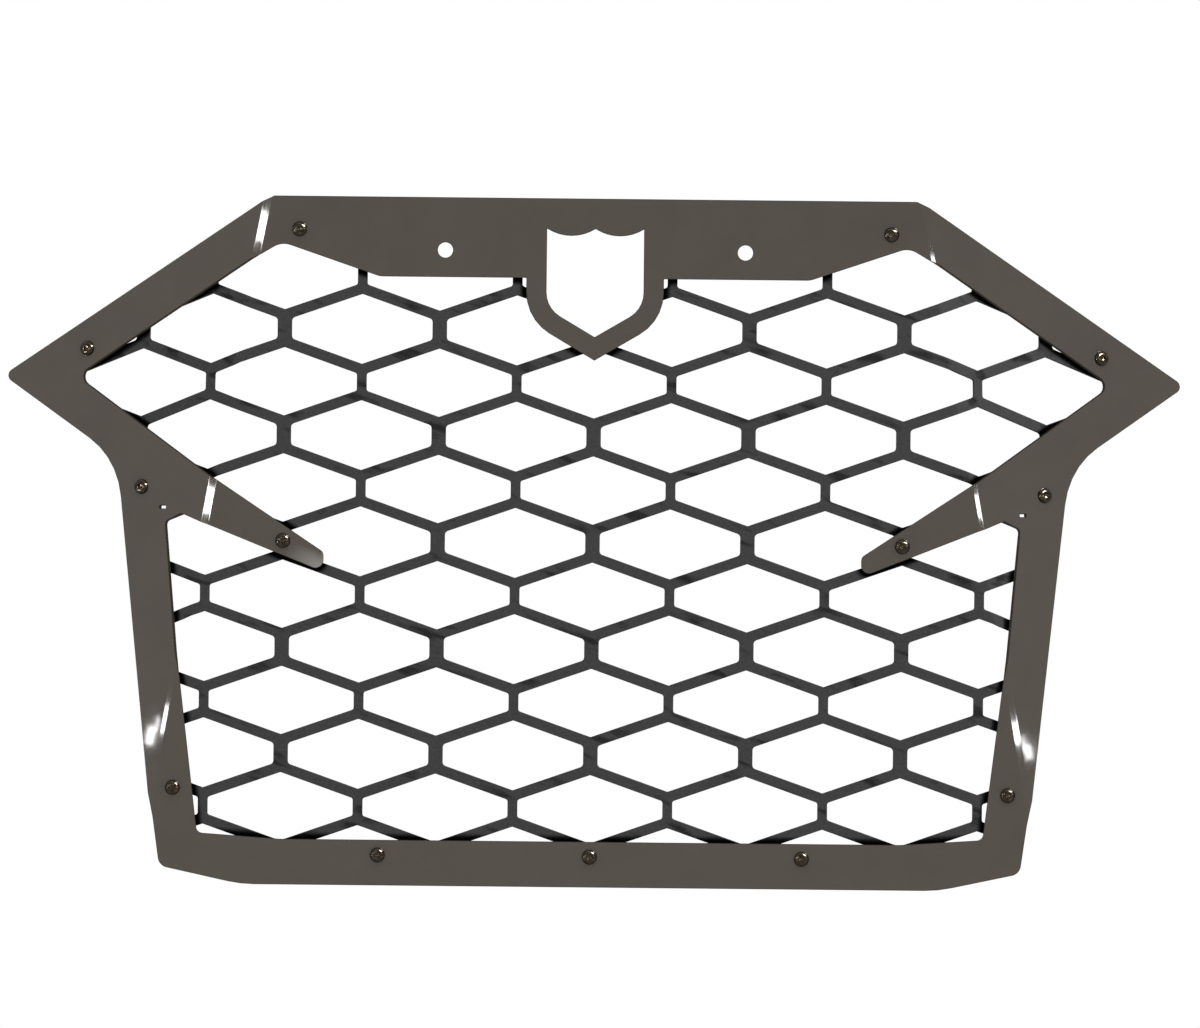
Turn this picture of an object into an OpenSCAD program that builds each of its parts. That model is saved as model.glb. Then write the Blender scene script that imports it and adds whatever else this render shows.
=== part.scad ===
// Front grille guard: a bent frame plate, a honeycomb mesh plate behind it, and the bolts that clamp them.
// The origin is midway between the two mounting holes, on the rear face of the frame plate.
// X is across the vehicle, Z is up, and the front of the guard faces -Y.

/* [Plates] */
// Thickness of the frame plate
frame_t = 3; // [2:0.5:5]
// Thickness of the honeycomb plate
mesh_t = 2; // [1.5:0.5:3]
// Distance of the honeycomb plate's edge inside the frame's outer edge
mesh_inset = 6; // [5:0.5:7]
// Overlap of the honeycomb plate's solid rim behind the frame's inner edge
rim_cover = 3; // [2:0.5:4]

/* [Frame outline] */
// Height of the top edge above the mounting holes
top_z = 33; // [31:0.5:36]
// Half width of the straight top edge
top_half_w = 201; // [199:0.5:203]
// Depth of the bottom edge below the mounting holes
bottom_depth = 398.5; // [396:0.5:402]
// Depth of the top rail's lower edge below the mounting holes
rail_depth = 16.9; // [15:0.1:18]
// Distance of the wing tip from the middle, on the flat blank
tip_x = 387.5; // [385:0.5:395]
// Depth of the wing tip below the mounting holes
tip_depth = 77.5; // [75:0.5:79]

/* [Wing folds] */
// Angle by which each wing sweeps back
fold_angle = 28; // [15:1:35]
// Distance of a fold line from the middle, at the height of the mounting holes
fold_x = 210.3; // [209:0.1:212]
// Lean of a fold line, outwards at the bottom
fold_tilt = 10.4; // [10:0.1:11]
// Bend radius between the two plates
fold_r = 7.5; // [5:0.5:9]

/* [Badge window] */
// Half width of the shield-shaped window
window_half_w = 30.3; // [28:0.1:32]
// Height of the window's upper corners above the mounting holes
window_top = 14; // [12:0.5:15]
// Depth of the window's point below the mounting holes
window_depth = 53.5; // [50:0.5:56]
// Sag of each of the two scallops in the window's top edge
scallop_sag = 4.4; // [3:0.1:6]
// Width of the rim round the window
window_rim = 12.7; // [10:0.1:13]
// Gap between the window and the edge of the honeycomb plate behind its rim
window_gap = 4; // [3:0.5:5]

/* [Honeycomb] */
// Distance between neighbouring columns of upright bars
column_pitch = 48.4; // [47:0.1:50]
// Distance between upright bars in one column
row_pitch = 66.4; // [64:0.1:68]
// Height of the first row of wide upright bars below the mounting holes
row_depth = 49.8; // [45:0.1:52]
// Rise of a sloping bar from one column to the next
slope_rise = 17; // [15:0.1:18]
// Width of a sloping bar
slope_bar_w = 6.7; // [5:0.1:8]
// Width of a wide upright bar
wide_bar_w = 9.1; // [8:0.1:11]
// Width of a narrow upright bar
narrow_bar_w = 6.2; // [5:0.1:8]
// Length by which a wide upright bar is longer than a narrow one
wide_bar_extra = 1; // [0:0.5:6]

/* [Fasteners] */
// Distance between the two mounting holes
mount_spacing = 187.5; // [180:0.5:195]
// Diameter of a mounting hole
mount_d = 9.5; // [8:0.5:11]
// Diameter of a screw's thread
screw_d = 5; // [4:1:5]
// Length of a screw under its head
screw_l = 12; // [11:1:16]
// Clearance of the screw holes, on the diameter
hole_clearance = 0.5; // [0.3:0.1:0.8]

/* [Hidden] */
$fn = 48;
// Places of the clamping screws on the right half of the flat blank: name, x, z, and whether it is on the wing
RIGHT_JOINTS = [
    ["top", 185, 12.3, false],
    ["wing", 328, -61.5, true],
    ["shoulder", 286.5, -149, true],
    ["lance", 4 * column_pitch, -row_depth - 2 * row_pitch, false],
    ["leg", 261, -337.5, false],
    ["bottom", 132.5, -378.5, false],
];
MIDDLE_JOINT = ["bottom_middle", 0, -378.5, false];
// Every joint: its name, its place, whether it is on a wing, and which side it is on
JOINTS = concat(
    [for (j = RIGHT_JOINTS) [str(j[0], "_right"), j[1], j[2], j[3], 1]],
    [for (j = RIGHT_JOINTS) [str(j[0], "_left"), j[1], j[2], j[3], -1]],
    [[MIDDLE_JOINT[0], MIDDLE_JOINT[1], MIDDLE_JOINT[2], MIDDLE_JOINT[3], 1]]
);

// Half the length of sheet that the bend takes up, and the number of flats that stand for its round
bend_half = fold_r * fold_angle * PI / 360;
bend_steps = 8;
// Distance from the fold line at which an edge of the blank is past the bend
past_bend = 1.3 * bend_half;
// Two vertices of an outline are never closer than this
least_edge = 0.05;
// Larger than any piece, and the length and depth of the folded sheet from which the plates are cut
reach = 600;
wing_reach = 230;
sweep_depth = 90;
screw_hole_d = screw_d + hole_clearance;
head_d = 1.9 * screw_d;
head_h = 0.55 * screw_d;
socket_af = 0.6 * screw_d;
socket_depth = 0.32 * screw_d;
washer_d = 2 * screw_d;
washer_t = 0.2 * screw_d;
nut_af = 1.6 * screw_d;
nut_h = screw_d;
nut_collar_h = 0.28 * nut_h;
nut_collar_d = 0.9 * nut_af;
// Nylon ring in the nut's collar, and the lip of the collar that is turned in over it
ring_d = 0.8 * nut_af;
ring_h = 0.22 * nut_h;
lip_bore_d = 1.16 * screw_d;
thread_gap = 0.1;
mount_relief_d = mount_d + 10.5;
// Slope of the window's lower edges, and the radius they start with
window_flank = 30.5;
shield_r = 17.5;
// Slope of the lower edge of the top rail's ends, and where that edge starts and stops
rail_end_slope = 18.75;
rail_end_x = [134.5, 196];

// Frame outline, right half, from the top edge round to the bottom: x, z and corner radius
OUTER = [
    [top_half_w, top_z, 2],
    [tip_x, -tip_depth, 4],
    [304.5, -131, 52],
    [269, -386.5, 7],
    [218, 1 - bottom_depth, 80],
];
// Main opening, right half, from the top rail out to the wing, in along the lance and down the leg
OPENING = [
    [rail_end_x[0], -rail_depth, 12],
    [rail_end_x[1], (rail_end_x[1] - rail_end_x[0]) * tan(rail_end_slope) - rail_depth, 12],
    [335, -78.7, 5.5],
    [168, -189.5, 4],
    [168, -202, 5],
    [258, -166, 3],
    [269, -171, 3],
    [245.5, -365.5, 4],
    [194, -369, 30],
];
// The same opening with the lances left out, which bounds the honeycomb
MESH_OPENING = [
    OPENING[0],
    OPENING[1],
    OPENING[2],
    [264, -128, 6],
    OPENING[6],
    OPENING[7],
    OPENING[8],
];
// Upper edge of the honeycomb plate, right half, clear of the mounting holes
MESH_TOP = [[125, -9], [176, 24], [reach, 24], [reach, -reach]];
// Small relief slot through both plates under each shoulder: its place seen from the front, and its size
RELIEF_AT = [269, -162.3];
RELIEF_SIZE = [3.8, 1.9];
// Radii of a honeycomb cell's corners beside wide bars and beside narrow bars, and of its upper and lower points
wide_corner_r = 2.4;
narrow_corner_r = 1.6;
cell_point_r = 1;
// Columns and rows of honeycomb cells that the opening can show
COLUMNS = [-7:7];
ROWS = [-1:5];
// Widest turn of one step of a rounded corner, for a radius below small_r and for a larger one
small_r = 5;
small_r_step = 24;
large_r_step = 12;

function unit(v) = v / norm(v);
function xy(p) = [p[0], p[1]];
function backwards(pts) = [for (i = [len(pts) - 1:-1:0]) pts[i]];
function mirrored(pts) = backwards([for (p = pts) len(p) > 2 ? [-p[0], p[1], p[2]] : [-p[0], p[1]]]);
function whole(half) = concat(half, mirrored(half));
// Points of the arc that rounds corner b, which lies between a and c
function corner(a, b, c) =
    let (u = unit(xy(a) - xy(b)), v = unit(xy(c) - xy(b)))
    let (half = acos(u * v) / 2, middle = xy(b) + unit(u + v) * b[2] / sin(half))
    let (start = xy(b) + u * b[2] / tan(half) - middle, end = xy(b) + v * b[2] / tan(half) - middle)
    let (turn = 180 - 2 * half, way = sign(start[0] * end[1] - start[1] * end[0]))
    let (steps = max(2, ceil(turn / (b[2] < small_r ? small_r_step : large_r_step))))
    [for (i = [0:steps]) let (t = way * turn * i / steps)
        middle + [start[0] * cos(t) - start[1] * sin(t), start[0] * sin(t) + start[1] * cos(t)]];
function rounded(pts) =
    let (n = len(pts))
    [for (i = [0:n - 1]) each corner(pts[(i + n - 1) % n], pts[i], pts[(i + 1) % n])];
// Distance of a point of the flat blank outside the fold line on one side of the guard
function fold_dist(p, side) = (side * p[0] - fold_x) * cos(fold_tilt) + p[1] * sin(fold_tilt);
// How far outwards a point at the distance d moves, seen from the front, when its face of the sheet,
// which has the radius r in the bend, is folded
function fold_shift(d, r) =
    d < -bend_half ? 0 : r * sin(fold_angle) - bend_half + (d - bend_half) * cos(fold_angle) - d;
// Points at which the blank's edge from a to b goes past either side of the bend
function bend_crossings(a, b) =
    let (side = a[0] + b[0] < 0 ? -1 : 1, da = fold_dist(a, side), db = fold_dist(b, side))
    let (least = least_edge / norm(b - a))
    [for (k = db > da ? [-1, 1] : [1, -1]) let (t = da == db ? 0 : (k * past_bend - da) / (db - da))
        if (t > least && t < 1 - least) a + t * (b - a)];
// Outline of the folded sheet as seen from the front, from its outline on the flat blank
function folded_outline(pts, r) =
    let (n = len(pts))
    [for (i = [0:n - 1]) each [for (p = concat([pts[i]], bend_crossings(pts[i], pts[(i + 1) % n])))
        let (side = p[0] < 0 ? -1 : 1, shift = fold_shift(fold_dist(p, side), r))
            p + shift * [side * cos(fold_tilt), sin(fold_tilt)]]];
// Outline of one honeycomb cell: half its width, the heights of its side corners and its points, and their radii
function cell(half_w, side_h, point_h, side_r, point_r) = rounded([
    [half_w, side_h, side_r], [0, point_h, point_r], [-half_w, side_h, side_r],
    [-half_w, -side_h, side_r], [0, -point_h, point_r], [half_w, -side_h, side_r]
]);

module mirror_copy() {
    children();
    mirror([1, 0, 0]) children();
}

// Puts a piece that is drawn on the flat blank at the right wing where it lies after folding
module on_wing() {
    translate([fold_x, 0, 0]) rotate([0, -fold_tilt, 0])
        translate([fold_r * sin(fold_angle) - bend_half, fold_r * (1 - cos(fold_angle)), 0])
            rotate([0, 0, fold_angle]) translate([-bend_half, 0, 0])
                rotate([0, fold_tilt, 0]) translate([-fold_x, 0, 0]) children();
}

// Everything behind the face of the sheet that lies at the depth y, folded on the right only
module behind_half(y) {
    r = fold_r - y;
    bend = [for (i = [0:bend_steps]) r * [sin(fold_angle * i / bend_steps), -cos(fold_angle * i / bend_steps)]];
    tip = bend[bend_steps] + wing_reach * [cos(fold_angle), sin(fold_angle)];
    translate([fold_x, 0, 0]) rotate([0, -fold_tilt, 0]) translate([-bend_half, fold_r, -reach])
        linear_extrude(2 * reach) polygon(concat([[-reach, tip[1]], [-reach, -r]], bend, [tip]));
}

module behind(y) {
    intersection() {
        behind_half(y);
        mirror([1, 0, 0]) behind_half(y);
    }
}

// A sheet from depth y0 back to depth y1 with both wings folded back, cut to the 2-D child's front view
module folded(y0, y1) {
    intersection() {
        difference() {
            behind(y0);
            behind(y1);
        }
        translate([0, sweep_depth, 0]) rotate([90, 0, 0]) linear_extrude(2 * sweep_depth) children();
    }
}

// Shield outline with straight sides and a point, larger all round by the distance grow
module shield(grow) {
    half_w = window_half_w + grow;
    point_z = -window_depth - grow / cos(window_flank);
    side = [half_w, point_z + half_w * tan(window_flank), shield_r + grow];
    polygon(concat(
        [[-half_w, window_top], [half_w, window_top]],
        corner([half_w, window_top], side, [0, point_z]),
        [[0, point_z]],
        corner([0, point_z], [-side[0], side[1], side[2]], [-half_w, window_top])
    ));
}

// Shield-shaped window, whose top edge has two scallops hanging into it
module window() {
    chord = window_half_w;
    scallop_r = chord * chord / (8 * scallop_sag) + scallop_sag / 2;
    difference() {
        shield(0);
        mirror_copy() translate([chord / 2, window_top - scallop_sag + scallop_r]) circle(scallop_r);
    }
}

module relief_slots() {
    mirror_copy() translate(RELIEF_AT) square(RELIEF_SIZE, center = true);
}

module frame_view() {
    face_r = fold_r + frame_t;
    difference() {
        union() {
            difference() {
                polygon(folded_outline(rounded(whole(OUTER)), face_r));
                polygon(folded_outline(rounded(whole(OPENING)), face_r));
            }
            shield(window_rim);
        }
        window();
        relief_slots();
    }
}

module honeycomb_view() {
    slope = atan(slope_rise / column_pitch);
    lift = slope_bar_w / 2 / cos(slope);
    narrow_len = row_pitch / 2 - slope_rise - wide_bar_extra / 2;
    wide_len = narrow_len + wide_bar_extra;
    for (col = COLUMNS) {
        beside_wide = abs(col) % 2 == 1;
        bar_w = beside_wide ? wide_bar_w : narrow_bar_w;
        bar_len = beside_wide ? wide_len : narrow_len;
        half_w = column_pitch - bar_w / 2;
        point_h = bar_len / 2 + slope_rise - lift;
        side_h = point_h - half_w * tan(slope);
        side_r = beside_wide ? wide_corner_r : narrow_corner_r;
        shift = beside_wide ? 0 : row_pitch / 2;
        for (row = ROWS) {
            centre = [col * column_pitch, shift - row_depth - row * row_pitch];
            outline = cell(half_w, side_h, point_h, side_r, cell_point_r);
            polygon(folded_outline([for (p = outline) centre + p], fold_r));
        }
    }
}

module mesh_view() {
    difference() {
        intersection() {
            offset(delta = -mesh_inset) polygon(folded_outline(rounded(whole(OUTER)), fold_r));
            polygon(whole(MESH_TOP));
        }
        intersection() {
            offset(delta = rim_cover) polygon(folded_outline(rounded(whole(MESH_OPENING)), fold_r));
            honeycomb_view();
        }
        shield(window_gap);
        relief_slots();
    }
}

// Puts a fastener, drawn on the origin with its head towards -Y, at a joint
module at_joint(j) {
    mirror([j[4] < 0 ? 1 : 0, 0, 0]) {
        if (j[3]) {
            on_wing() translate([j[1], 0, j[2]]) children();
        } else {
            translate([j[1], 0, j[2]]) children();
        }
    }
}

module y_cylinder(d, y0, y1) {
    translate([0, y1, 0]) rotate([90, 0, 0]) cylinder(d = d, h = y1 - y0);
}

module screw_holes() {
    for (j = JOINTS) {
        at_joint(j) y_cylinder(screw_hole_d, -frame_t - 1, mesh_t + 1);
    }
}

module outer_frame() {
    color("#55504a") difference() {
        folded(-frame_t, 0) frame_view();
        screw_holes();
        mirror_copy() translate([mount_spacing / 2, 0, 0]) y_cylinder(mount_d, -frame_t - 1, 1);
    }
}

module honeycomb_mesh() {
    color("#3c3c3c") difference() {
        folded(0, mesh_t) mesh_view();
        screw_holes();
        mirror_copy() translate([mount_spacing / 2, 0, 0]) y_cylinder(mount_relief_d, -1, mesh_t + 1);
    }
}

// Button-head screw with a hexagon socket; its head rests on the front of the frame
module screw() {
    color("#2a241e") difference() {
        translate([0, -frame_t, 0]) rotate([-90, 0, 0]) rotate_extrude() polygon([
            [0, -head_h], [0.4 * screw_d, -head_h], [0.68 * screw_d, -0.82 * head_h],
            [0.87 * screw_d, -0.48 * head_h], [head_d / 2, 0], [screw_d / 2, 0],
            [screw_d / 2, screw_l - 0.1 * screw_d], [0.4 * screw_d, screw_l], [0, screw_l]
        ]);
        translate([0, -frame_t - head_h + socket_depth, 0]) rotate([90, 0, 0])
            cylinder(d = socket_af / cos(30), h = socket_depth + 1, $fn = 6);
    }
}

module washer() {
    color("#6e6e6c") difference() {
        y_cylinder(washer_d, mesh_t, mesh_t + washer_t);
        y_cylinder(screw_d + 0.3, mesh_t - 1, mesh_t + washer_t + 1);
    }
}

// Lock nut: a hexagon with a round collar, grooved for its nylon ring
module lock_nut() {
    start = mesh_t + washer_t;
    collar = start + nut_h - nut_collar_h;
    color("#7d7d7a") difference() {
        union() {
            translate([0, collar, 0]) rotate([90, 0, 0])
                cylinder(d = nut_af / cos(30), h = collar - start, $fn = 6);
            y_cylinder(nut_collar_d, collar, start + nut_h);
        }
        y_cylinder(screw_d + thread_gap, start - 1, collar + 0.1);
        y_cylinder(ring_d, collar, collar + ring_h);
        y_cylinder(lip_bore_d, collar, start + nut_h + 1);
    }
}

module nylon_ring() {
    start = mesh_t + washer_t + nut_h - nut_collar_h;
    color("#e8e6da") difference() {
        y_cylinder(ring_d, start, start + ring_h);
        y_cylinder(screw_d, start - 1, start + ring_h + 1);
    }
}

outer_frame();
honeycomb_mesh();
for (j = JOINTS) {
    at_joint(j) screw();
    at_joint(j) washer();
    at_joint(j) lock_nut();
    at_joint(j) nylon_ring();
}
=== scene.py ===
"""Looks of a front grille guard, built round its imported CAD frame. Lengths are in metres."""

import math
import random

import bmesh
import bpy
from mathutils import Matrix, Vector


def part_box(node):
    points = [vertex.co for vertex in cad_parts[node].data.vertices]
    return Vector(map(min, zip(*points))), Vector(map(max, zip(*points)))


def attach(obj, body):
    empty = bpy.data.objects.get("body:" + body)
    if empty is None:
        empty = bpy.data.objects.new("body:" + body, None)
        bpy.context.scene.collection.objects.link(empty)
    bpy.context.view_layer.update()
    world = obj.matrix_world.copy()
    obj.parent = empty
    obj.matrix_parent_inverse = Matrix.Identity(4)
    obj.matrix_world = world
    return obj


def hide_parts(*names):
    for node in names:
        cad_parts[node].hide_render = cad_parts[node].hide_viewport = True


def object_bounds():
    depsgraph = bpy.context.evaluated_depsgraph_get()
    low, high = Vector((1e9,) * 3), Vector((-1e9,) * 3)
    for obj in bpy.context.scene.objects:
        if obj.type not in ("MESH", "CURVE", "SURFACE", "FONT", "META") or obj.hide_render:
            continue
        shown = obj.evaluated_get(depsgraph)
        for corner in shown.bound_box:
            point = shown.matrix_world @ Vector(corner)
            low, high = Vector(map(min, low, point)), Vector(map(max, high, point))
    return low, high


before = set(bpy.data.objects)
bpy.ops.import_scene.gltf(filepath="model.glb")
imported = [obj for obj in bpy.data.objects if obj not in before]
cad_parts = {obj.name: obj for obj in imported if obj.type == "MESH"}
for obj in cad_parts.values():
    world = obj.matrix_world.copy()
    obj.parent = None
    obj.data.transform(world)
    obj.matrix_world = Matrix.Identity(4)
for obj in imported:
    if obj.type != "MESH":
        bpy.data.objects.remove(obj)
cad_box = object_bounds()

MM = 0.001
MIDDLE = Vector((4.5 * MM, 0, -164 * MM))
random.seed(11)

# The two plates and their folds, as the CAD model has them
FRAME_T = 3 * MM
MESH_T = 2 * MM
FOLD_X = 210.3 * MM
FOLD_TILT = math.radians(10.4)
FOLD_ANGLE = math.radians(28)
FOLD_R = 7.5 * MM
BEND_HALF = FOLD_R * FOLD_ANGLE / 2
# Slope of the honeycomb's bars
BAR_SLOPE = math.radians(19.4)

# The M5 fasteners
SCREW_R = 2.5 * MM
SCREW_L = 12 * MM
PITCH = 0.8 * MM
HEAD_R = 4.75 * MM
HEAD_H = 2.75 * MM
HEAD_TOP_R = 2.0 * MM
SOCKET_AF = 3.0 * MM
SOCKET_DEPTH = 1.6 * MM
SKIRT_H = 0.45 * MM
THREAD_L = 5 * MM
THREAD_DEPTH = 0.42 * MM
WASHER_R = 5 * MM
WASHER_BORE_R = 2.65 * MM
WASHER_T = 1 * MM
NUT_AF = 8 * MM
NUT_H = 5 * MM
COLLAR_H = 1.4 * MM
COLLAR_R = 3.6 * MM
RING_R = 3.2 * MM
RING_H = 1.1 * MM
LIP_R = 2.9 * MM


# ---------------------------------------------------------------- materials

def add(tree, kind, settings=None, **inputs):
    """A shader node with its settings, and with its inputs set or linked."""
    node = tree.nodes.new(kind)
    for key, value in (settings or {}).items():
        setattr(node, key, value)
    for key, value in inputs.items():
        socket = node.inputs[int(key[1:])] if key[0] == "i" and key[1:].isdigit() else node.inputs[key]
        if isinstance(value, bpy.types.NodeSocket):
            tree.links.new(value, socket)
        else:
            socket.default_value = value
    return node


def material(name):
    made = bpy.data.materials.new(name)
    made.use_nodes = True
    tree = made.node_tree
    return made, tree, tree.nodes["Principled BSDF"]


def noise(tree, place, scale, detail=2.0, roughness=0.5):
    """Noise between 0 and 1; scale is in cycles per metre."""
    return add(tree, "ShaderNodeTexNoise", Vector=place, Scale=scale, Detail=detail, Roughness=roughness)


def ramp(tree, value, low, high, out_low, out_high):
    """The value from low..high as a value from out_low..out_high."""
    node = add(tree, "ShaderNodeMapRange", i0=value, i1=low, i2=high, i3=out_low, i4=out_high)
    return node.outputs[0]


def mix(tree, factor, a, b, blend="MIX"):
    node = add(tree, "ShaderNodeMix", {"data_type": "RGBA", "blend_type": blend}, i0=factor, i6=a, i7=b)
    return node.outputs[2]


def shade(colour, factor):
    return tuple(min(1.0, c * factor) for c in colour) + (1.0,)


def bump(tree, height, strength, distance, normal=None):
    inputs = {"Height": height, "Strength": strength, "Distance": distance}
    if normal is not None:
        inputs["Normal"] = normal
    return add(tree, "ShaderNodeBump", **inputs).outputs[0]


def unshaded_part(tree, place, painted_shade_reach):
    """
    1 on unshaded coat and 0 where painted shade is darkest. The painted shade lies in corners next to the
    frame's walls, as wide as the length painted_shade_reach, and in faint painted shade streaks that run down
    to the right as every second honeycomb bar does.
    """
    # Painted shade: the coat turns dark where ambient occlusion finds walls close by, in corners next to the
    # frame.
    corners = add(tree, "ShaderNodeAmbientOcclusion", {"samples": 16}, Distance=painted_shade_reach)
    unshaded = ramp(tree, corners.outputs["AO"], 0.87, 0.97, 0, 1)
    # Painted shade streaks, stretched along the bars that fall to the right.
    stretch = 4
    along_bars = add(tree, "ShaderNodeMapping", {"vector_type": "TEXTURE"},
                     Vector=place, Rotation=(0, BAR_SLOPE, 0), Scale=(stretch, 1, 1))
    streaks = noise(tree, along_bars.outputs[0], 120).outputs[0]
    streaks = ramp(tree, streaks, 0.68, 0.56, 0.4, 1)
    return add(tree, "ShaderNodeMath", {"operation": "MULTIPLY"}, i0=unshaded, i1=streaks).outputs[0]


def powder_coat(name, colour, roughness, peel=1.0, gloss_layer=0.0, specular=0.5, mottle=0.0, painted_shade_reach=0.0):
    """Powder coat: orange peel, fine grain, faint clouding, a few dust specks, and blots and painted shade if
    asked.
    """
    made, tree, shader = material(name)
    shader.inputs["Specular IOR Level"].default_value = specular
    shader.inputs["Coat Weight"].default_value = gloss_layer
    shader.inputs["Coat Roughness"].default_value = 0.02
    place = add(tree, "ShaderNodeTexCoord").outputs["Object"]
    clouds = noise(tree, place, 28, detail=4, roughness=0.6)
    grain = noise(tree, place, 2600, detail=2)
    dimples = noise(tree, place, 620, detail=3, roughness=0.4)
    tone = mix(tree, ramp(tree, clouds.outputs[0], 0.3, 0.7, 0, 1), shade(colour, 0.95), shade(colour, 1.05))
    tone = mix(tree, ramp(tree, grain.outputs[0], 0.62, 0.75, 0, 0.35), tone, shade(colour, 1.5))
    specks = add(tree, "ShaderNodeTexVoronoi", {"feature": "F1"}, Vector=place, Scale=140.0)
    tone = mix(tree, ramp(tree, specks.outputs[0], 0.05, 0.02, 0, 0.25), tone, shade(colour, 2.2))
    if mottle:
        blots = ramp(tree, noise(tree, place, 420, detail=3).outputs[0], 0.35, 0.65, 1 - mottle, 1 + mottle)
        tone = mix(tree, 1.0, tone, blots, "MULTIPLY")
    if painted_shade_reach:
        # Painted shade: near-black coat with its sheen taken away in the corners and streaks.
        unshaded = unshaded_part(tree, place, painted_shade_reach)
        tone = mix(tree, unshaded, shade(colour, 0.05), tone)
        tree.links.new(ramp(tree, unshaded, 0, 1, 0, specular), shader.inputs["Specular IOR Level"])
    tree.links.new(tone, shader.inputs["Base Color"])
    gloss = ramp(tree, clouds.outputs[0], 0.25, 0.75, roughness - 0.03, roughness + 0.04)
    tree.links.new(gloss, shader.inputs["Roughness"])
    normal = bump(tree, dimples.outputs[0], 0.25 * peel, 0.04 * MM)
    normal = bump(tree, grain.outputs[0], 0.2 * peel, 0.01 * MM, normal)
    tree.links.new(normal, shader.inputs["Normal"])
    return made


def turned_metal(name, colour, roughness, metallic, ring_pitch, tint):
    """Metal with fine turned rings about the piece's own Y axis, and patches of a second tint."""
    made, tree, shader = material(name)
    shader.inputs["Metallic"].default_value = metallic
    place = add(tree, "ShaderNodeTexCoord").outputs["Object"]
    parts = add(tree, "ShaderNodeSeparateXYZ", i0=place)
    flat = add(tree, "ShaderNodeCombineXYZ", i0=parts.outputs[0], i2=parts.outputs[2])
    radius = add(tree, "ShaderNodeVectorMath", {"operation": "LENGTH"}, i0=flat.outputs[0])
    along = add(tree, "ShaderNodeMath", {"operation": "ADD"}, i0=radius.outputs["Value"], i1=parts.outputs[1])
    wobble = noise(tree, place, 900, detail=3)
    wave = add(tree, "ShaderNodeMath", {"operation": "MULTIPLY_ADD"},
               i0=along.outputs[0], i1=math.tau / ring_pitch, i2=wobble.outputs[0])
    rings = add(tree, "ShaderNodeMath", {"operation": "SINE"}, i0=wave.outputs[0])
    patches = noise(tree, place, 450, detail=4, roughness=0.65)
    tone = mix(tree, ramp(tree, patches.outputs[0], 0.35, 0.65, 0, 1), shade(colour, 1), shade(tint, 1))
    tree.links.new(tone, shader.inputs["Base Color"])
    gloss = ramp(tree, patches.outputs[0], 0.3, 0.7, roughness - 0.06, roughness + 0.08)
    tree.links.new(gloss, shader.inputs["Roughness"])
    normal = bump(tree, rings.outputs[0], 0.15, 0.01 * MM)
    normal = bump(tree, patches.outputs[0], 0.1, 0.02 * MM, normal)
    tree.links.new(normal, shader.inputs["Normal"])
    return made


def nylon_material(name):
    made, tree, shader = material(name)
    place = add(tree, "ShaderNodeTexCoord").outputs["Object"]
    cloudy = noise(tree, place, 500, detail=3)
    tone = mix(tree, ramp(tree, cloudy.outputs[0], 0.3, 0.7, 0, 1), (0.62, 0.6, 0.5, 1), (0.75, 0.74, 0.66, 1))
    tree.links.new(tone, shader.inputs["Base Color"])
    tree.links.new(ramp(tree, cloudy.outputs[0], 0.3, 0.7, 0.38, 0.5), shader.inputs["Roughness"])
    shader.inputs["Subsurface Weight"].default_value = 0.25
    shader.inputs["Subsurface Scale"].default_value = 0.6 * MM
    tree.links.new(bump(tree, cloudy.outputs[0], 0.2, 0.02 * MM), shader.inputs["Normal"])
    return made


FRAME_COLOUR = (0.068, 0.0565, 0.045)
MESH_COLOUR = (0.032, 0.032, 0.032)
frame_coat = powder_coat("frame_coat", FRAME_COLOUR, 0.5, gloss_layer=1.0, specular=0.0)
# Cut walls and rounded rims: the frame coat at 0.6 of its colour and without sheen, painted shade.
frame_edge_painted_shade = powder_coat("frame_coat_edge_painted_shade", tuple(0.6 * c for c in FRAME_COLOUR), 0.5, 0.6, specular=0.0)
# The honeycomb's coats carry painted shade in corners next to the frame and in streaks along the bars.
mesh_coat = powder_coat("mesh_coat", MESH_COLOUR, 0.6, specular=0.08, mottle=0.14, painted_shade_reach=5 * MM)
mesh_edge = powder_coat("mesh_coat_edge", MESH_COLOUR, 0.55, 0.6, specular=0.08, mottle=0.14, painted_shade_reach=5 * MM)
black_steel = turned_metal("black_steel", (0.014, 0.011, 0.008), 0.13, 0.9, 0.12 * MM, (0.05, 0.038, 0.026))
zinc_steel = turned_metal("zinc_steel", (0.50, 0.50, 0.49), 0.34, 1.0, 0.10 * MM, (0.58, 0.60, 0.62))
nylon = nylon_material("nylon")


# ---------------------------------------------------------------- plates

def sheet_front(u, front_r):
    """Depth and turn of the front face of a folded sheet at the distance u outside its fold line."""
    end = front_r * math.sin(FOLD_ANGLE)
    if u < -BEND_HALF:
        return FOLD_R - front_r, 0.0
    if u < end - BEND_HALF:
        turn = math.asin((u + BEND_HALF) / front_r)
        return FOLD_R - front_r * math.cos(turn), turn
    past = u + BEND_HALF - end
    return FOLD_R - front_r * math.cos(FOLD_ANGLE) + past * math.tan(FOLD_ANGLE), FOLD_ANGLE


def from_fold(point):
    """The point's side of the guard, its place relative to the fold line there, and the way across the fold."""
    side = 1 if point.x > 0 else -1
    across = Vector((math.cos(FOLD_TILT), 0, math.sin(FOLD_TILT)))
    return side, Vector((side * point.x - FOLD_X, point.y, point.z)), across


def is_wall(face, front_r):
    """Whether a face is a cut wall, and not one of the sheet's two broad faces."""
    side, local, across = from_fold(face.calc_center_median())
    turn = sheet_front(local.dot(across), front_r)[1]
    normal = across * math.sin(turn) - Vector((0, math.cos(turn), 0))
    normal.x *= side
    return abs(face.normal.dot(normal)) < 0.7


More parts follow.
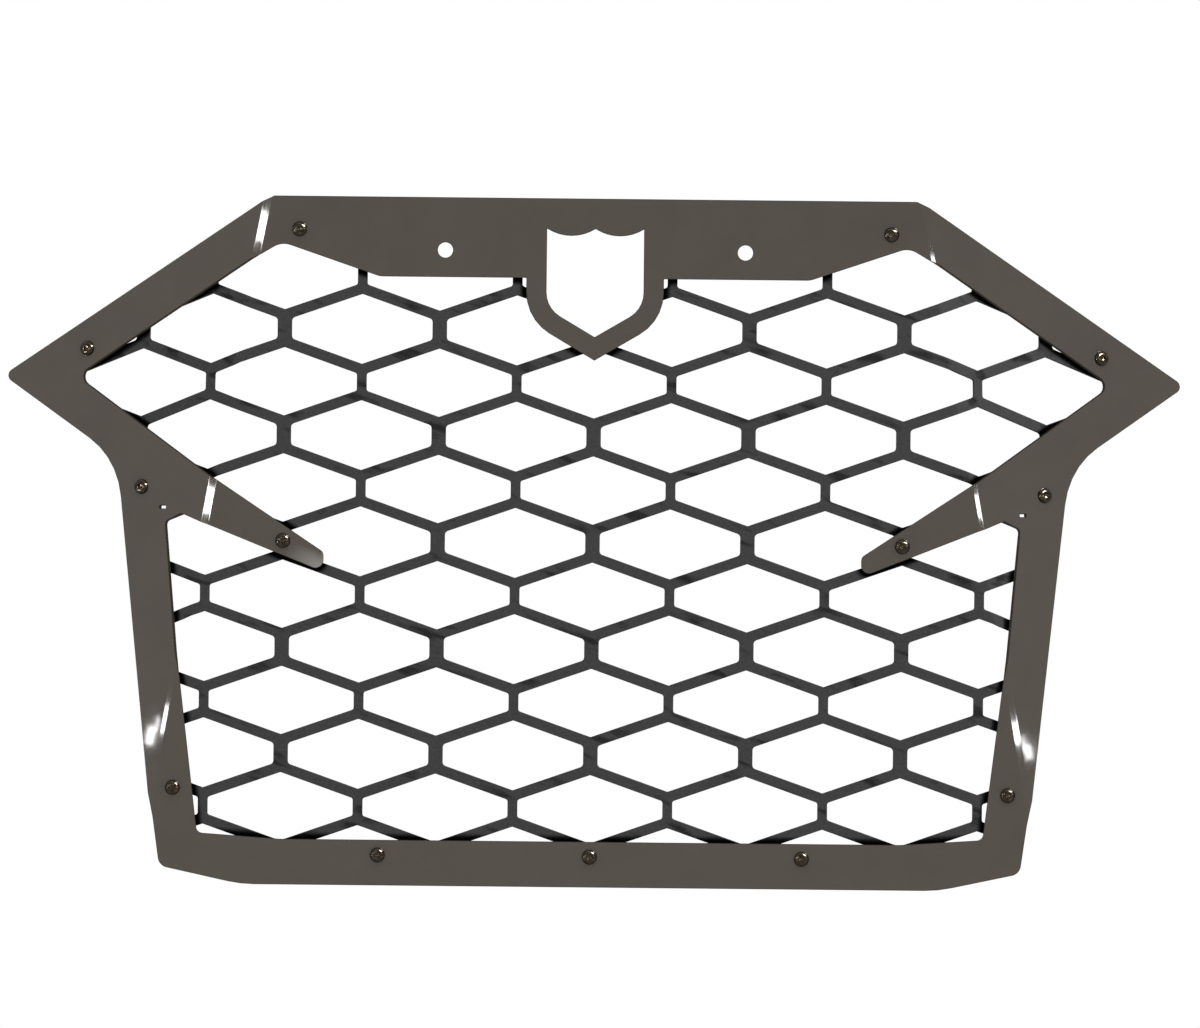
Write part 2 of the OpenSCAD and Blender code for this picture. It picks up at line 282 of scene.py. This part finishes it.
def square_walls(bm, front_r, thickness):
    """Turns the cut walls on the wings square to the sheet, as laser cutting before folding leaves them."""
    bores = [joint["centre"] for joint in JOINTS if abs(joint["axis"].x) > 0.1]
    for v in bm.verts:
        side, local, across = from_fold(v.co)
        depth, turn = sheet_front(local.dot(across), front_r)
        behind = (v.co.y - depth) * math.cos(turn)
        near_bore = any((v.co - centre).length < 2 * SCREW_R for centre in bores)
        if turn == 0 or behind < thickness / 2 or near_bore:
            continue
        moved = local - across * (thickness * math.sin(turn))
        moved.y = depth + thickness * math.cos(turn)
        v.co = Vector((side * (moved.x + FOLD_X), moved.y, moved.z))


def plate(name, node, coats, front_r, thickness, edge):
    """A folded sheet-metal piece: the CAD node's shape with square-cut, softly rounded edges."""
    bm = bmesh.new()
    bm.from_mesh(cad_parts[node].data)
    bmesh.ops.remove_doubles(bm, verts=bm.verts, dist=0.002 * MM)
    square_walls(bm, front_r, thickness)
    bmesh.ops.dissolve_limit(bm, angle_limit=math.radians(0.6), verts=bm.verts, edges=bm.edges)
    bm.normal_update()
    for face in bm.faces:
        face.smooth = True
        face.material_index = 1 if is_wall(face, front_r) else 0
    rims = [e for e in bm.edges if len(e.link_faces) == 2 and e.calc_face_angle() > math.radians(50)]
    bmesh.ops.bevel(bm, geom=rims, offset=edge, offset_type="OFFSET", segments=3, profile=0.5,
                    affect="EDGES", clamp_overlap=False, material=1)
    mesh = bpy.data.meshes.new(name)
    for coat in coats:
        mesh.materials.append(coat)
    bm.to_mesh(mesh)
    bm.free()
    piece = bpy.data.objects.new(name, mesh)
    bpy.context.scene.collection.objects.link(piece)
    weighted = piece.modifiers.new("even_shading", "WEIGHTED_NORMAL")
    weighted.mode = "FACE_AREA"
    weighted.weight = 100
    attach(piece, "root")
    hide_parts(node)
    return piece


# ---------------------------------------------------------------- fasteners

def hexagon(across_flats):
    """Radius of a hexagon as a function of the angle."""
    def radius(angle):
        past_flat = (angle + math.pi / 6) % (math.pi / 3) - math.pi / 6
        return across_flats / 2 / math.cos(past_flat)
    return radius


def ring_surface(name, rings, steps, looped):
    """A surface through rings about the Y axis; a ring is its depth and its radius, or radius by angle."""
    verts, faces = [], []
    for y, radius in rings:
        for i in range(steps):
            angle = math.tau * i / steps
            r = radius(angle) if callable(radius) else radius
            verts.append((r * math.cos(angle), y, r * math.sin(angle)))
    count = len(rings)
    for k in range(count if looped else count - 1):
        a, b = k * steps, (k + 1) % count * steps
        for i in range(steps):
            j = (i + 1) % steps
            faces.append((a + i, a + j, b + j, b + i))
    if not looped:
        faces.append(tuple(range(steps - 1, -1, -1)))
        faces.append(tuple(range((count - 1) * steps, count * steps)))
    mesh = bpy.data.meshes.new(name)
    mesh.from_pydata(verts, [], faces)
    bm = bmesh.new()
    bm.from_mesh(mesh)
    bmesh.ops.recalc_face_normals(bm, faces=bm.faces)
    bm.to_mesh(mesh)
    bm.free()
    for face in mesh.polygons:
        face.use_smooth = True
    mesh.set_sharp_from_angle(angle=math.radians(38))
    return mesh


def arc(r0, y0, size, start, end, count):
    """Ring sizes along a round: from the angle start to end about the point (r0, y0), in degrees."""
    turns = [math.radians(start + (end - start) * i / count) for i in range(count + 1)]
    return [(y0 - size * math.cos(t), r0 + size * math.sin(t)) for t in turns]


def screw_mesh():
    """Button-head screw with a hexagon socket, its head towards -Y and its seat at the depth 0."""
    socket = hexagon(SOCKET_AF)
    floor_y = SOCKET_DEPTH - HEAD_H
    flare = 0.35 * MM
    rings = [(floor_y + 0.45 * MM, 0.05 * MM), (floor_y, socket)]
    for i in range(5):
        cone = SOCKET_AF / 2 + (0.42 * MM) * i / 4
        rings.append((-HEAD_H + flare * (1 - i / 4), lambda a, c=cone: max(socket(a), c)))
    dome_h = HEAD_H - SKIRT_H
    dome_w = HEAD_R - 0.1 * MM - HEAD_TOP_R
    for i in range(13):
        t = math.pi / 2 * i / 12
        rings.append((-SKIRT_H - dome_h * math.cos(t), HEAD_TOP_R + dome_w * math.sin(t)))
    rings += [(-0.3 * MM, HEAD_R), (-0.14 * MM, HEAD_R)]
    rings += [(-0.03 * MM, HEAD_R - 0.08 * MM), (0, HEAD_R - 0.22 * MM)]
    rings += [(0, SCREW_R + 0.25 * MM), (0.12 * MM, SCREW_R + 0.06 * MM), (0.3 * MM, SCREW_R)]
    thread_start = SCREW_L - THREAD_L
    rings.append((thread_start, SCREW_R))
    steps_per_pitch = 8
    for i in range(1, round(THREAD_L / PITCH * steps_per_pitch) + 1):
        y = thread_start + i * PITCH / steps_per_pitch
        if y > SCREW_L:
            break
        fade = min(1.0, (y - thread_start) / (0.6 * PITCH))
        tip = SCREW_R - 0.55 * MM + (SCREW_L - y) * 0.9

        def thread(angle, y=y, fade=fade, tip=tip):
            phase = (y / PITCH - angle / math.tau) % 1.0
            notch = max(0.0, 1 - abs(phase - 0.5) / 0.42)
            return min(SCREW_R - THREAD_DEPTH * fade * notch, tip)
        rings.append((y, thread))
    rings.append((SCREW_L, SCREW_R - 0.75 * MM))
    return ring_surface("screw", rings, 48, looped=False)


def washer_mesh():
    """Stamped washer: rounded on the side that the die met, sharper on the other."""
    start, end = MESH_T, MESH_T + WASHER_T
    soft, crisp = 0.28 * MM, 0.1 * MM
    rings = [(end, WASHER_BORE_R + crisp), (end, WASHER_R - soft)]
    rings += arc(WASHER_R - soft, end - soft, soft, 180, 90, 5)[1:]
    rings += [(start + crisp, WASHER_R), (start, WASHER_R - crisp)]
    rings += [(start, WASHER_BORE_R + crisp), (start + crisp, WASHER_BORE_R), (end - crisp, WASHER_BORE_R)]
    return ring_surface("washer", rings, 48, looped=True)


def lock_nut_mesh():
    """Hexagon lock nut with chamfered corners and a round collar that is crimped over its nylon ring."""
    start = MESH_T + WASHER_T
    body_end = start + NUT_H - COLLAR_H
    end = start + NUT_H
    flats = hexagon(NUT_AF)
    corner = NUT_AF / 2 / math.cos(math.pi / 6)

    def cut(limit):
        return lambda angle: min(flats(angle), limit)
    bore = SCREW_R + 0.05 * MM
    rings = [(start + 0.35 * MM, bore), (start, bore + 0.35 * MM), (start, NUT_AF / 2 - 0.15 * MM)]
    chamfer_h = 0.42 * MM
    for i in range(5):
        rings.append((start + chamfer_h * i / 4, cut(NUT_AF / 2 + (corner - NUT_AF / 2) * i / 4)))
    for i in range(5):
        rings.append((body_end - chamfer_h * (1 - i / 4), cut(corner - (corner - NUT_AF / 2) * i / 4)))
    rings += [(body_end + 0.02 * MM, COLLAR_R + 0.14 * MM), (body_end + 0.14 * MM, COLLAR_R)]
    crimp = 0.55 * MM
    rings += arc(COLLAR_R - crimp, end - crimp, crimp, 90, 180, 7)
    rings += [(end - 0.04 * MM, LIP_R + 0.02 * MM), (end - 0.2 * MM, LIP_R), (body_end + RING_H, LIP_R)]
    rings += [(body_end + RING_H, RING_R), (body_end, RING_R), (body_end, bore)]
    return ring_surface("lock_nut", rings, 48, looped=True)


def nylon_ring_mesh():
    start = MESH_T + WASHER_T + NUT_H - COLLAR_H
    end = start + RING_H
    soft = 0.18 * MM
    bore = SCREW_R - 0.03 * MM
    outside = RING_R - 0.01 * MM
    rings = [(start, bore), (start, outside), (end - soft, outside), (end, RING_R - soft)]
    rings += [(end, bore + soft), (end - 0.3 * soft, bore + 0.3 * soft), (end - soft, bore)]
    return ring_surface("nylon_ring", rings, 40, looped=True)


def find_joints():
    """The place of each clamping screw, from its washer: its centre where the plates meet, and its axis."""
    joints = []
    for node, obj in sorted(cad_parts.items()):
        if not node.startswith("washer_"):
            continue
        axis = Vector((0, 0, 0))
        for face in obj.data.polygons:
            faces_back = face.normal.y > 0.6
            if faces_back:
                axis += face.normal * face.area
        axis.normalize()
        low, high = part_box(node)
        centre = (low + high) / 2 - axis * (MESH_T + WASHER_T / 2)
        joints.append({"name": node[len("washer_"):], "centre": centre, "axis": axis})
    return joints


def fastener(kind, mesh, joint, coat, offset=0.0):
    """One piece of a clamping screw, turned by a random angle about its axis."""
    if not mesh.materials:
        mesh.materials.append(coat)
    name = f"{kind}_{joint['name']}"
    piece = bpy.data.objects.new(name + "_detail", mesh)
    bpy.context.scene.collection.objects.link(piece)
    turn = Matrix.Rotation(random.uniform(0, math.tau), 4, "Y")
    align = Vector((0, 1, 0)).rotation_difference(joint["axis"]).to_matrix().to_4x4()
    piece.matrix_world = Matrix.Translation(joint["centre"] + joint["axis"] * offset) @ align @ turn
    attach(piece, "root")
    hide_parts(name)
    return piece


# ---------------------------------------------------------------- studio

def area_light(name, size, radiance, place, diffuse=True, faded=False):
    """A rectangular light that the camera doesn't see; a faded one dims towards its edges."""
    data = bpy.data.lights.new(name, "AREA")
    data.shape = "RECTANGLE"
    data.size, data.size_y = size
    data.energy = radiance * math.pi * size[0] * size[1]
    if faded:
        data.use_nodes = True
        tree = data.node_tree
        spot = add(tree, "ShaderNodeNewGeometry").outputs["Parametric"]
        from_centre = add(tree, "ShaderNodeVectorMath", {"operation": "DISTANCE"}, i0=spot, i1=(0.5, 0.5, 0))
        strength = ramp(tree, from_centre.outputs["Value"], 0, 0.5, 1, 0)
        tree.links.new(strength, tree.nodes["Emission"].inputs["Strength"])
    light = bpy.data.objects.new(name, data)
    light.matrix_world = place
    light.visible_camera = False
    light.visible_diffuse = diffuse
    bpy.context.scene.collection.objects.link(light)


def facing_middle(azimuth, height, distance):
    """Place of a light in front of the guard that faces its middle; the azimuth is in degrees to the right."""
    turn = math.radians(azimuth)
    spot = Vector((distance * math.sin(turn), -distance * math.cos(turn), height))
    aim = (MIDDLE - spot).to_track_quat("-Z", "Y").to_matrix().to_4x4()
    return Matrix.Translation(spot) @ aim


def gleam(name, side, low, high, start, end, radiance, faded=False):
    """
    A reflector that shows only as a gleam in the frame's clear coat. The gleam lies between two heights,
    and between two distances outside the fold line. The reflector is where the camera sees it mirrored.
    """
    distance = 3.0
    front_r = FOLD_R + FRAME_T
    across = Vector((side * math.cos(FOLD_TILT), 0, math.sin(FOLD_TILT)))
    along = Vector((-side * math.sin(FOLD_TILT), 0, math.cos(FOLD_TILT)))
    turns = [sheet_front(u, front_r)[1] for u in (start, end)]
    turn = sum(turns) / 2
    out = front_r * math.sin(turn) - BEND_HALF if turns[1] > turns[0] else (start + end) / 2
    spot = Vector((side * FOLD_X, 0, 0)) + along * (low + high) / 2 + across * out
    spot.y = sheet_front(out, front_r)[0]
    normal = across * math.sin(turn) - Vector((0, math.cos(turn), 0))
    to_camera = bpy.context.scene.camera.matrix_world.translation - spot
    spread = 1 + distance / to_camera.length
    to_camera.normalize()
    mirrored = 2 * normal.dot(to_camera) * normal - to_camera
    right = along.cross(mirrored).normalized()
    axes = Matrix((right, mirrored.cross(right), mirrored)).transposed().to_4x4()
    width = 2 * distance * math.tan(turns[1] - turns[0]) + (end - start) * spread
    size = (width, (high - low) * spread)
    area_light(name, size, radiance, Matrix.Translation(spot + distance * mirrored) @ axes, False, faded)


def studio_world(high, level, low):
    """Dim soft surroundings for the lighting, brighter above, with plain white behind the guard."""
    world = bpy.data.worlds.new("studio")
    world.use_nodes = True
    bpy.context.scene.world = world
    tree = world.node_tree
    tree.nodes.clear()
    direction = add(tree, "ShaderNodeTexCoord").outputs["Generated"]
    up = add(tree, "ShaderNodeSeparateXYZ", i0=direction).outputs[2]
    colours = add(tree, "ShaderNodeValToRGB", i0=ramp(tree, up, -1, 1, 0, 1))
    stops = colours.color_ramp.elements
    stops[0].color = (low, low, low, 1)
    stops[1].color = (high, high, high, 1)
    middle = stops.new(0.5)
    middle.color = (level, level, level, 1)
    soft = add(tree, "ShaderNodeBackground", i0=colours.outputs[0])
    white = add(tree, "ShaderNodeBackground", i0=(1, 1, 1, 1))
    seen = add(tree, "ShaderNodeLightPath").outputs["Is Camera Ray"]
    both = add(tree, "ShaderNodeMixShader", i0=seen, i1=soft.outputs[0], i2=white.outputs[0])
    add(tree, "ShaderNodeOutputWorld", i0=both.outputs[0])


def make_floor(drop):
    """A plain pale floor, lower than the guard by the distance drop."""
    size, behind = 3.4, 1.5
    low = cad_box[0].z - drop
    bm = bmesh.new()
    bmesh.ops.create_grid(bm, x_segments=8, y_segments=8, size=size / 2)
    mesh = bpy.data.meshes.new("floor")
    bm.to_mesh(mesh)
    bm.free()
    made, tree, shader = material("floor_paint")
    place = add(tree, "ShaderNodeTexCoord").outputs["Object"]
    clouds = noise(tree, place, 3, detail=4)
    tone = mix(tree, clouds.outputs[0], (0.78, 0.78, 0.77, 1), (0.84, 0.84, 0.83, 1))
    tree.links.new(tone, shader.inputs["Base Color"])
    shader.inputs["Roughness"].default_value = 0.8
    mesh.materials.append(made)
    floor = bpy.data.objects.new("floor", mesh)
    floor.location = (0, behind - size / 2, low)
    bpy.context.scene.collection.objects.link(floor)


def make_camera():
    """Square on from far away, so the view has almost no perspective; rolled a little anticlockwise."""
    lens, sensor, view_width = 1200, 36, 0.75
    distance = lens * view_width / sensor
    data = bpy.data.cameras.new("camera")
    data.lens, data.sensor_width = lens, sensor
    data.clip_end = 2 * distance
    camera = bpy.data.objects.new("camera", data)
    look = Matrix.Rotation(math.radians(90), 4, "X")
    roll_angle = math.radians(0.58)
    roll = Matrix.Rotation(roll_angle, 4, "Z")
    camera.matrix_world = Matrix.Translation(MIDDLE - Vector((0, distance, 0))) @ look @ roll
    bpy.context.scene.collection.objects.link(camera)
    bpy.context.scene.camera = camera


# ---------------------------------------------------------------- the scene

make_camera()
JOINTS = find_joints()
plate("frame_plate", "outer_frame", [frame_coat, frame_edge_painted_shade],
      FOLD_R + FRAME_T, FRAME_T, 0.35 * MM)
plate("honeycomb_plate", "honeycomb_mesh", [mesh_coat, mesh_edge], FOLD_R, MESH_T, 0.45 * MM)

# Each kind of fastener: its mesh, material and colour slot, and the depth of its seat from the joint face
KINDS = [
    ("screw", screw_mesh(), black_steel, "black_screw", -FRAME_T),
    ("washer", washer_mesh(), zinc_steel, "zinc", 0),
    ("lock_nut", lock_nut_mesh(), zinc_steel, "zinc", 0),
    ("nylon_ring", nylon_ring_mesh(), nylon, "nylon", 0),
]
for joint in JOINTS:
    for kind, mesh, coat, slot, offset in KINDS:
        fastener(kind, mesh, joint, coat, offset)

studio_world(high=1.3, level=0.65, low=0.05)
make_floor(drop=0.12)
area_light("key_above", (2.0, 1.0), 1.5, facing_middle(0, 2.4, 1.6))
area_light("glint_above", (1.5, 0.8), 130, facing_middle(42, 1.6, 2.4), diffuse=False)
area_light("glint_below", (0.8, 1.2), 120, facing_middle(-60, -1.1, 2.4), diffuse=False)
# Where the whole bend starts and ends, in mm outside the fold line
BEND = (-1.75, 3.05)
# Each gleam's name and side, its two heights and its two distances outside the fold line in mm, its radiance,
# and whether it fades towards its edges
GLEAMS = [
    ("gleam_top_left", -1, 1.5, 27.5, *BEND, 40, False),
    ("gleam_lance_left", -1, -174, -147, *BEND, 40, False),
    ("gleam_leg_left", -1, -309, -291, 0.5, 3.05, 40, False),
    ("gleam_leg_ankle_left", -1, -309, -300, 3.3, 5.5, 40, False),
    ("gleam_leg_foot_left", -1, -318, -307, 5, 11, 40, False),
    ("gleam_tip_left", -1, -214, -168, -104, -52, 5, True),
    ("gleam_top_right", 1, -12.5, -6, -1, 1.5, 30, False),
    ("gleam_lance_right", 1, -171, -148, 0.5, 3, 40, False),
    ("gleam_leg_right", 1, -311, -296, -1, 3.05, 40, False),
    ("gleam_leg_ankle_right", 1, -316, -306, 3.2, 5.2, 40, False),
    ("gleam_leg_foot_right", 1, -321, -312, 4.6, 8.5, 40, False),
]
for name, side, low, high, start, end, radiance, faded in GLEAMS:
    gleam(name, side, low * MM, high * MM, start * MM, end * MM, radiance, faded)
bpy.context.scene.view_settings.view_transform = "Standard"
